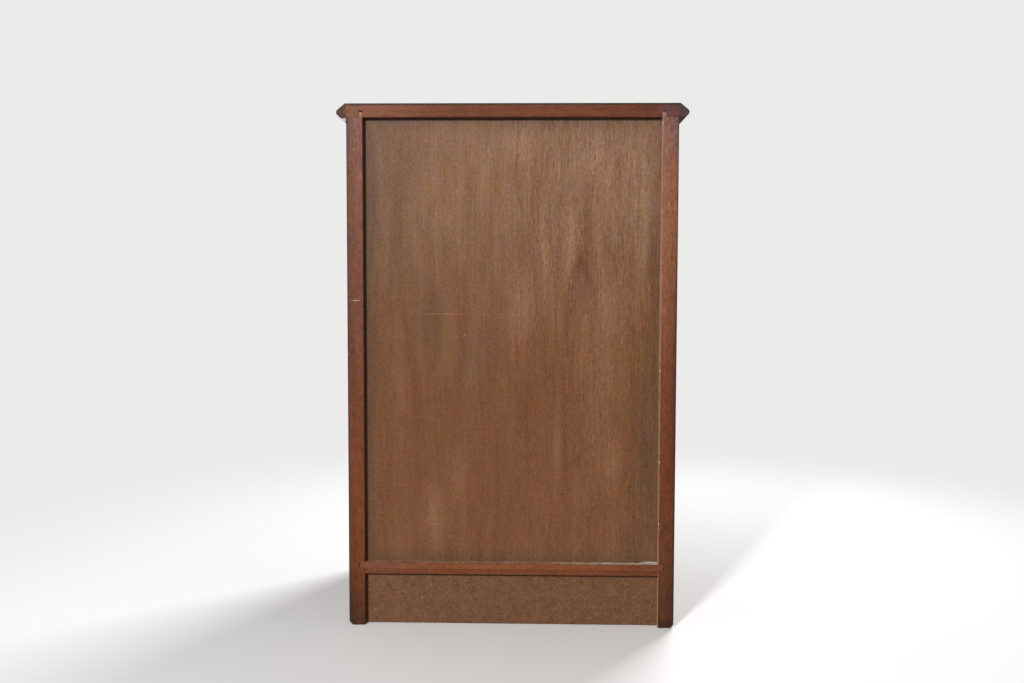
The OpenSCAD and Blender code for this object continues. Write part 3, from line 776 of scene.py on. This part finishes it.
def weathered_with_sheen(*stops):
    """Stain of a side's rear edge: a dark foot, a top grey with dust and painted sheen, and a darker outer
    half.

    Each stop is a height in m and a colour.
    """
    def rear(put, colour, back):
        patch_mm, sway = 25, 0.12
        here = put("TexCoord").outputs["Object"]
        place = put("SeparateXYZ", here)
        wave = put("TexNoise", here, Scale=1 / (patch_mm * MM), Detail=2.0)
        wave = put("Math", wave, 0.5, operation="SUBTRACT")
        height = put("Math", wave, sway, place.outputs["Z"], operation="MULTIPLY_ADD")
        # Paler and greyer towards the top: dust, and a painted sheen
        worn = put("ValToRGB", put("MapRange", height, 0.0, body_h, 0.0, 1.0),
                   stops=[(z / body_h, shade) for z, shade in stops])
        reach = put("Math", place.outputs["X"], operation="ABSOLUTE")
        outer = put("MapRange", reach, inner_x + 11 * MM, inner_x + 18 * MM, 0.0, -0.14)
        worn = tinted(put, worn, outer)
        return put("Mix", back, colour, worn, data_type="RGBA")
    return rear


def dusty_ledge(put, colour, back):
    """Pale dust on the bottom board's top where it stands out behind the panel, thickest towards -X."""
    here = put("TexCoord")
    place = put("SeparateXYZ", here.outputs["Object"])
    up = put("MapRange", put("SeparateXYZ", here.outputs["Normal"]).outputs["Z"], 0.5, 0.9, 0.0, 1.0)
    behind = put("MapRange", place.outputs["Y"], panel_rear, panel_rear + 1 * MM, 0.0, 1.0)
    drift_mm = 9
    drift = put("TexNoise", here.outputs["Object"], Scale=1 / (drift_mm * MM), Detail=3.0)
    thick = put("MapRange", place.outputs["X"], 0.1, -0.22, 0.8, 1.0)
    thick = put("Math", thick, put("MapRange", drift, 0.35, 0.65, 0.3, 1.1), operation="MULTIPLY")
    share = put("Math", put("Math", up, behind, operation="MULTIPLY"), thick, operation="MULTIPLY")
    pale = put("MapRange", place.outputs["X"], -0.05, -0.23, 0.0, 1.0)
    dust = put("Mix", pale, "#a5856a", "#ece3d6", data_type="RGBA")
    return put("Mix", share, colour, dust, data_type="RGBA")


# Places of marks: the rear edges, the tongues into the top, and the gaps beside the bottom board's tongues
back_mm, side_end_mm, left_wall_mm = y_back / MM, half_w / MM, -inner_x / MM
under_top_mm, top_mm, ledge_mm = top_z / MM, body_h / MM, ledge_z / MM
tongue_x_mm = 260.2
slit_x_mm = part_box("bottom_board")[1].x / MM + 0.4
long_mm = 3000

# Boards of the case: the direction of the grain, the pith of the log in metres, the stain and the marks
hardwood_boards = {
    "right_side": dict(
        along="Z", pith=(0.33, -0.02, -0.3), tone="#653722",
        # Rear stops: dark at the foot, paler and greyer towards the top with dust and a painted sheen
        rear=weathered_with_sheen((0.0, "#402a20"), (0.02, "#563120"), (0.05, "#60351f"), (0.10, "#6c3b20"),
                       (0.22, "#723c20"), (0.49, "#6b3e2a"), (0.69, "#704435"), (0.78, "#774b3c"),
                       (0.86, "#795044")), marks=(
            ((284, back_mm, 860), (11, 4, 110), "#553a3a", 0.45, "soft"),
            # Painted shade on the rounded outer arris
            ((side_end_mm, back_mm, 450), (4.6, 4, long_mm), "#36292a", 0.8, "soft"),
            ((tongue_x_mm, back_mm, 890.5), (3.4, 3, 5), "#a4735c", 0.75, "cut"),
            ((270.5, back_mm, 572), (16, 2, 1.1), "#b9a599", 0.75, "chip"),
            ((282, back_mm, 479), (2, 2, 2), "#b79683", 0.7, "chip"),
            ((slit_x_mm, back_mm, 107), (1.2, 3, 6), "#2a1410", 0.9, "cut"))),
    "left_side": dict(
        along="Z", pith=(-0.32, 0.03, 0.2), tone="#6a3a24",
        # Rear stops: dark at the foot, paler and greyer towards the top with dust and a painted sheen
        rear=weathered_with_sheen((0.0, "#3d271c"), (0.02, "#502e1d"), (0.06, "#57321f"), (0.22, "#6f3d25"),
                       (0.35, "#6d3c25"), (0.49, "#79462d"), (0.69, "#8a583e"), (0.78, "#905f4a"),
                       (0.86, "#7f594d")), marks=(
            # Painted shade on the rounded outer arris
            ((-side_end_mm, back_mm, 300), (5.6, 4, 900), "#2c2222", 1.0, "soft"),
            # Pale inner wall: a painted highlight where the light falls on it, and a worn edge
            ((left_wall_mm, back_mm - 9, 450), (1.2, 18, long_mm), "#e2b08a", 0.85, "worn"),
            ((left_wall_mm, back_mm - 4, 452), (1.9, 6, 2.0), "#efe6d8", 0.9, "cut"),
            ((left_wall_mm, back_mm - 4, 293), (1.9, 6, 2.0), "#efe6d8", 0.9, "cut"),
            ((left_wall_mm, back_mm - 4, 184), (1.9, 6, 2.0), "#efe6d8", 0.9, "cut"),
            ((left_wall_mm, back_mm, 876), (1.5, 4, 8), "#d8b09c", 0.9, "worn"),
            ((-280, back_mm, 875), (10, 4, 70), "#6a4f4e", 0.7, "soft"),
            ((-283, back_mm, 400), (12, 4, 380), "#502c26", 0.5, "soft"),
            ((-tongue_x_mm, back_mm, 890.5), (3.4, 3, 5), "#9a7268", 0.5, "cut"),
            ((-slit_x_mm, back_mm, 107), (1.2, 3, 6), "#2a1410", 0.9, "cut"))),
    "top_panel": dict(along="X", pith=(0.1, 0.02, 0.80)),
    "top_back_lipping": dict(along="X", pith=(0.2, 0.25, 0.83), tone="#6a3823", marks=(
        ((250, back_mm, 898), (150, 8, 40), "#855840", 0.45, "soft"),
        ((268, back_mm, 906), (16, 4, 4), "#4d3d3f", 0.8, "worn"),
        ((-240, back_mm, 898), (140, 8, 40), "#5a301f", 0.5, "soft"),
        ((-270, back_mm, 898), (34, 8, 22), "#5f474b", 0.6, "soft"),
        ((0, back_mm, top_mm), (long_mm, 6, 4.3), "#33261f", 0.8, "cut"),
        # Painted shade along the lower rear edge of the lipping, over the recess
        ((0, back_mm, under_top_mm), (256.5, 3, 1.5), "#2e1a12", 0.8, "cut"),
        ((285, back_mm, 904), (1.7, 2, 8), "#b58c80", 0.8, "soft"),
        ((tongue_x_mm, back_mm, 896.4), (4.8, 2, 2.0), "#42180c", 1.0, "cut"),
        ((-tongue_x_mm, back_mm, 896.2), (4.6, 2, 1.6), "#2a1510", 0.8, "cut"))),
    "bottom_board": dict(along="X", pith=(-0.1, 0.1, 0.18), tone="#804a2b", rear=dusty_ledge, marks=(
        ((260, back_mm, 107), (150, 8, 30), "#7c4c3c", 0.8, "soft"),
        ((-235, back_mm, 104), (110, 8, 30), "#66391f", 0.55, "soft"),
        ((0, back_mm, 94.5), (long_mm, 8, 7.5), "#5f3020", 0.45, "cut"),
        ((0, back_mm, 100.6), (long_mm, 8, 1.4), "#4a241a", 0.5, "worn"),
        ((-89, back_mm - 1, ledge_mm), (3, 3, 1.2), "#dcc0a4", 0.9, "worn"),
        ((-141, back_mm - 1, ledge_mm), (2, 3, 1.2), "#dcc0a4", 0.9, "worn"))),
    "plinth_board": dict(along="X", pith=(0.1, -0.25, 0.0)),
    "top_rail": dict(along="X", pith=(0.3, -0.1, 0.81)),
}
for n in drawers[:-1]:
    hardwood_boards[f"drawer_rail_{n}"] = dict(along="X", pith=(0.1 * n, -0.12, 0.9 - 0.17 * n))
for n in drawers:
    pith = (0.05 * n, -0.29, 0.83 - 0.14 * n)
    hardwood_boards[f"drawer_{n}_front"] = dict(along="X", pith=pith, lean=0.03)
soft_arrises = {"left_side": at_outer_corner, "right_side": at_outer_corner,
                "top_back_lipping": at_top_of_back}
for node, settings in hardwood_boards.items():
    stuff = stained_hardwood(f"stained_mahogany_{node}", **settings)
    board(node, stuff, soft=soft_arrises.get(node))

# Moulded edge and bed moulding, whose rear ends are cut on a slant of bed_cut_mm
edge = moulded_edge_mm()
bed_size_mm, bed_cut_mm = 10.5, 7.0
bed = np.array([(0.0, 0.0), (bed_size_mm, 0.0), (0.0, -bed_size_mm)])
lipping_marks = {
    "right": (((290, back_mm, 898), (15, 4, 16), "#4f3226", 0.9, "cut"),
              ((287, back_mm, 895), (5, 3, 7), "#7a4638", 0.7, "soft"),
              ((296, back_mm, 909), (10, 4, 5), "#2f2620", 0.9, "cut"),
              ((303, back_mm, 893), (5, 4, 12), "#2f2620", 0.8, "cut")),
    "left": (((-289, back_mm, 899), (14, 4, 16), "#4b393c", 0.9, "cut"),
             ((-297, back_mm, 908), (11, 5, 5.5), "#353030", 0.9, "cut"),
             ((-302.5, back_mm, 896), (4.5, 5, 14), "#353030", 0.85, "cut"))}
# Painted highlight on the right bed moulding's slanted end, which faces the lamp, and painted shade on the
# left one's
bed_end_light_and_shade = {
    "right": (((290, back_mm - 3.5, 882), (9, 5, 9), "#c2b4b7", 0.9, "cut"),),
    "left": (((-290, back_mm - 3, 882), (12, 9, 11), "#413a3c", 0.95, "cut"),)}
for hand, sign in hands.items():
    mitre = ((sign * half_w, y_front), (sign, -1))
    for node, outline, height, lag, marks in (
            (f"top_{hand}_lipping", edge, body_h, 0, lipping_marks[hand]),
            (f"{hand}_bed_moulding", bed, top_z, -bed_cut_mm / bed_size_mm, bed_end_light_and_shade[hand])):
        stuff = stained_hardwood(f"stained_mahogany_{node}", "Y", (sign * 0.34, 0.0, 0.86), marks=marks)
        moulding(node, outline, height, [((sign * half_w, y_back), (sign, lag)), mitre], stuff)
across = [((-half_w, y_front), (-1, -1)), ((half_w, y_front), (1, -1))]
for node, outline, height in (("top_front_lipping", edge, body_h), ("front_bed_moulding", bed, top_z)):
    stuff = stained_hardwood(f"stained_mahogany_{node}", "X", (0.1, -0.26, 0.87))
    moulding(node, outline, height, across, stuff)

# Panels at the back, with the clouds, scuffs, dust and painted shade of the upper one
rear_mm = panel_rear / MM
panel_marks = (
    ((215, rear_mm, 660), (100, 20, 300), "#62442f", 0.42, "soft"),
    ((215, rear_mm, 830), (135, 20, 150), "#6b4c3a", 0.62, "soft"),
    ((140, rear_mm, 535), (42, 20, 125), "#5f432d", 0.72, "soft"),
    # Darker along the +X frame: grime, and painted shade of the recess
    ((256, rear_mm, 450), (34, 20, 900), "#5c4230", 0.35, "soft"),
    ((-60, rear_mm, 665), (45, 20, 110), "#98745c", 0.35, "soft"),
    ((-104, rear_mm, 690), (22, 20, 80), "#a07a62", 0.40, "soft"),
    ((-110, rear_mm, 790), (40, 20, 90), "#98745c", 0.30, "soft"),
    ((-146, rear_mm, 450), (45, 20, 320), "#8c654b", 0.38, "soft"),
    ((-25, rear_mm, 570), (55, 20, 90), "#8b6750", 0.40, "soft"),
    ((-215, rear_mm, 760), (70, 20, 150), "#93705a", 0.50, "soft"),
    ((-140, rear_mm, 812), (30, 20, 60), "#96735c", 0.40, "soft"),
    ((-160, rear_mm, 560), (16, 20, 70), "#85614b", 0.45, "soft"),
    ((-230, rear_mm, 310), (34, 20, 260), "#58402f", 0.50, "soft"),
    ((100, rear_mm, 270), (26, 20, 110), "#845b41", 0.50, "soft"),
    ((-125, rear_mm, 240), (24, 20, 70), "#825c40", 0.40, "soft"),
    ((-80, rear_mm, 330), (11, 20, 90), "#806049", 0.40, "soft"),
    ((60, rear_mm, 480), (60, 20, 110), "#684a3a", 0.35, "soft"),
    ((-50, rear_mm, 440), (40, 20, 60), "#694a36", 0.35, "soft"),
    ((226, rear_mm, 420), (14, 20, 60), "#6a4a2c", 0.40, "soft"),
    ((138, rear_mm, 190), (44, 20, 95), "#8f674b", 0.50, "soft"),
    ((-215, rear_mm, 145), (44, 20, 65), "#5a3f2c", 0.45, "soft"),
    ((244, rear_mm, 740), (28, 20, 150), "#5a4333", 0.40, "soft"),
    ((-99, rear_mm, 640), (18, 20, 75), "#967058", 0.45, "soft"),
    ((-12, rear_mm, 838), (42, 20, 45), "#98745e", 0.40, "soft"),
    ((16, rear_mm, 565), (20, 20, 45), "#674936", 0.40, "soft"),
    ((-175, rear_mm, 290), (26, 20, 85), "#8b6448", 0.55, "soft"),
    ((left_wall_mm, rear_mm, 490), (3.2, 4, 520), "#a98062", 0.45, "soft"),
    ((115, rear_mm, 549), (56, 3, 1.2), "#a0785c", 0.45, "worn"),
    ((15, rear_mm, 548), (62, 3, 1.0), "#9a7358", 0.35, "worn"),
    ((82, rear_mm, 512), (0.9, 3, 2.2), "#d8c8b4", 0.9, "chip"),
    ((0, rear_mm, 112.0), (long_mm, 4, 1.2), "#93725a", 0.6, "worn"),
    # Painted shade under the top, along the panel's upper edge
    ((0, rear_mm, under_top_mm), (long_mm, 4, 5.5), "#38241a", 0.75, "cut"),
    ((-244, rear_mm, 112.4), (20, 4, 2.6), "#ece3d6", 0.9, "worn"))
plywood = stained_plywood("stained_lauan_plywood", panel_marks)
bowed_panel("back_panel", plywood, 0.6)
bowed_panel("lower_back_panel", stained_fibreboard("stained_fibreboard"), 0.2)

# Bare wood inside
depth_wood = planed_whitewood("planed_spruce_along_depth", "Y")
width_wood = planed_whitewood("planed_spruce_along_width", "X")
upright_wood = planed_whitewood("planed_spruce_upright", "Z")
bottom_ply = sanded_plywood("sanded_birch_plywood")
inside = {"top_kickers": depth_wood, "drawer_runners": depth_wood, "drawer_stops": width_wood,
          "plinth_blocks": upright_wood}
for n in drawers:
    inside[f"drawer_{n}_sides"] = depth_wood
    inside[f"drawer_{n}_back"] = width_wood
    inside[f"drawer_{n}_bottom"] = bottom_ply
for node, stuff in inside.items():
    board(node, stuff, ease_mm=0.25)

# Pulls
brass = antique_brass("antique_brass")
for n in drawers:
    pull_posts(n, brass)
    for hand in hands:
        bail(n, hand, brass)
